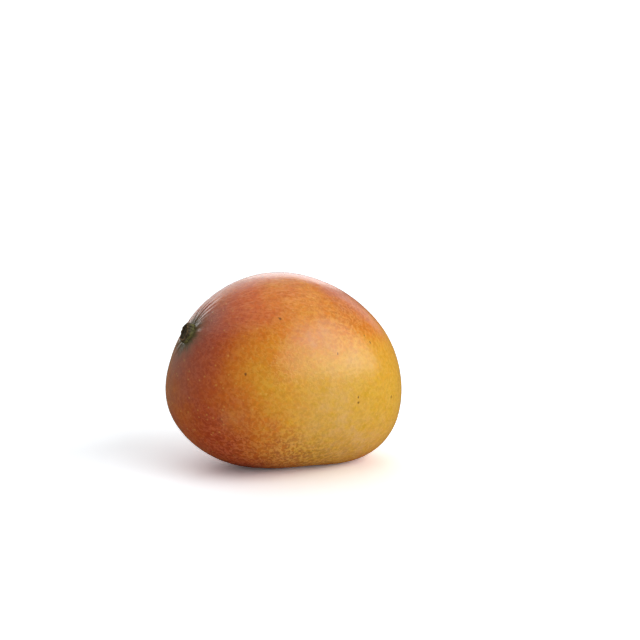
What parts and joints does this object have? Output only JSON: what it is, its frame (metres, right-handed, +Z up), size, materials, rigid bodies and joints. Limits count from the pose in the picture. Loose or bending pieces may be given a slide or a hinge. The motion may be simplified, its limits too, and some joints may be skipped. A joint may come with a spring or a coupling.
{
  "type": "mango",
  "caption": "Whole ripe mango lying on its belly edge: plump, slightly flattened fruit with a blunt tip and the corky stub of its broken stalk.",
  "frame": {"origin": "on the surface that the fruit lies on, under the middle of its outline", "axes": "+X from the stalk end to the tip, +Z up, and the two cheeks face -Y and +Y"},
  "size_m": [0.1186, 0.087, 0.0948],
  "materials": {
    "skin": "satin",
    "scar": "matte"
  },
  "bodies": {
    "root": {"fruit": "skin", "stalk_scar": "scar"}
  },
  "joints": []
}
